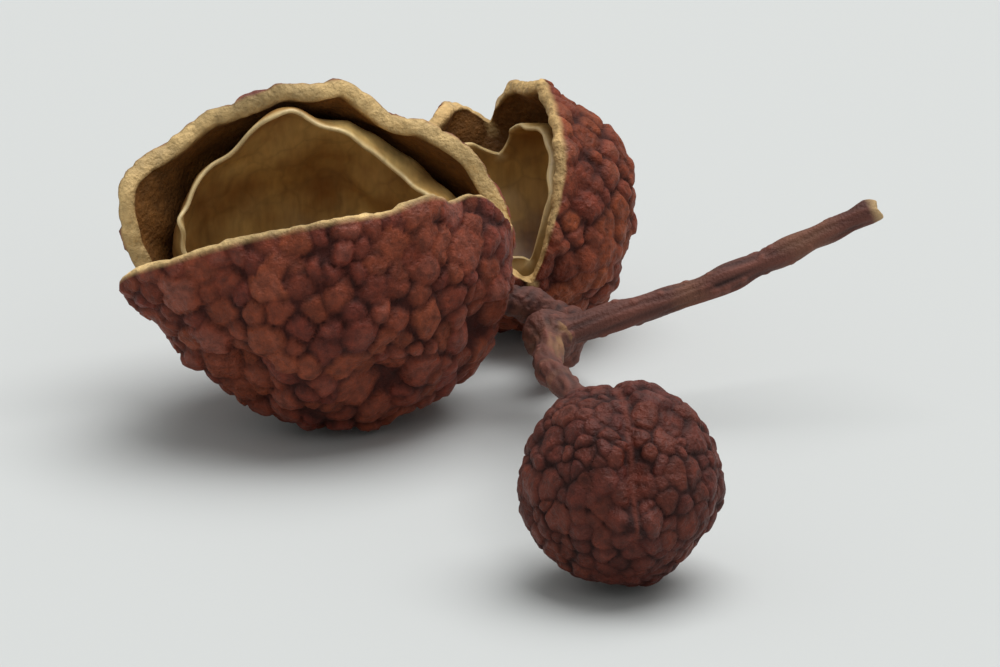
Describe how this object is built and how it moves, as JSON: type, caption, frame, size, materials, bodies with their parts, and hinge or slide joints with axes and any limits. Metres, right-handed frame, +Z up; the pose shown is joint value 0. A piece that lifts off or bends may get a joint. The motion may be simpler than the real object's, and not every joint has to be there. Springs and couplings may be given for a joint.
{
  "type": "sichuan peppercorn sprig",
  "caption": "Dried Sichuan pepper sprig lying on its side: a forked woody stalk with split warty husks, papery linings and a small closed berry.",
  "frame": {"origin": "on the surface the sprig lies on, under the middle of its bounding box", "axes": "+Z up from the surface, +X from the large husk towards the bare end of the stalk, +Y from the closed berry towards the small husk"},
  "size_m": [0.0096, 0.013, 0.0042],
  "materials": {
    "bark": "dry and wrinkled",
    "large_husk_skin": "dry and warty, slightly waxy on the oil glands",
    "small_husk_skin": "dry and warty, slightly waxy on the oil glands",
    "berry_skin": "dry and warty",
    "large_lining_paper": "smooth and papery",
    "small_lining_paper": "smooth and papery"
  },
  "bodies": {
    "root": {"stalk": "bark", "large_husk": "large_husk_skin", "large_husk_lining": "large_lining_paper", "small_husk": "small_husk_skin", "small_husk_lining": "small_lining_paper", "closed_berry": "berry_skin"}
  },
  "joints": []
}
